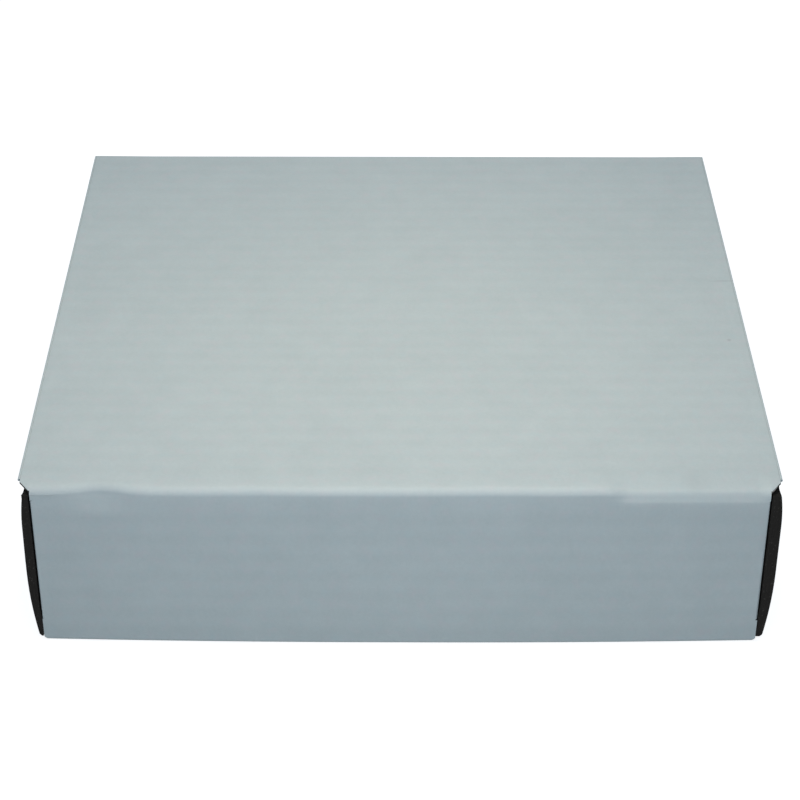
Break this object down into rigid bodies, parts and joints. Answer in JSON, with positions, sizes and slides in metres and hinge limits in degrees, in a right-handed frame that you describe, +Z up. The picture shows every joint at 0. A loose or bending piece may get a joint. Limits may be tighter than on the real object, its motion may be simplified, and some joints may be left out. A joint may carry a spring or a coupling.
{
  "type": "tuck end box",
  "caption": "Flat-lying corrugated tuck end box: a folded and glued tube whose two end flaps hinge on the top panel's creases and tuck in over the bottom panel.",
  "frame": {"origin": "centre of the box's footprint, on the face that the box lies on", "axes": "+X along the flutes from the left end to the right end, -Y out of the front panel, +Z up out of the top panel"},
  "size_m": [0.2106, 0.1986, 0.053],
  "materials": {
    "white_board": "matt white paper liner, near-black board at the cut edges"
  },
  "bodies": {
    "sleeve": {"sleeve": "white_board"},
    "left_end_flap": {"left_end_flap": "white_board"},
    "right_end_flap": {"right_end_flap": "white_board"}
  },
  "joints": [
    {"name": "left_end_hinge", "type": "hinge", "parent": "sleeve", "child": "left_end_flap", "pos_m": [-0.10485, 0.00085, 0.0526], "axis": [0, 1, 0], "range_deg": [0, 135]},
    {"name": "right_end_hinge", "type": "hinge", "parent": "sleeve", "child": "right_end_flap", "pos_m": [0.10485, 0.00085, 0.0526], "axis": [0, -1, 0], "range_deg": [0, 135]}
  ]
}
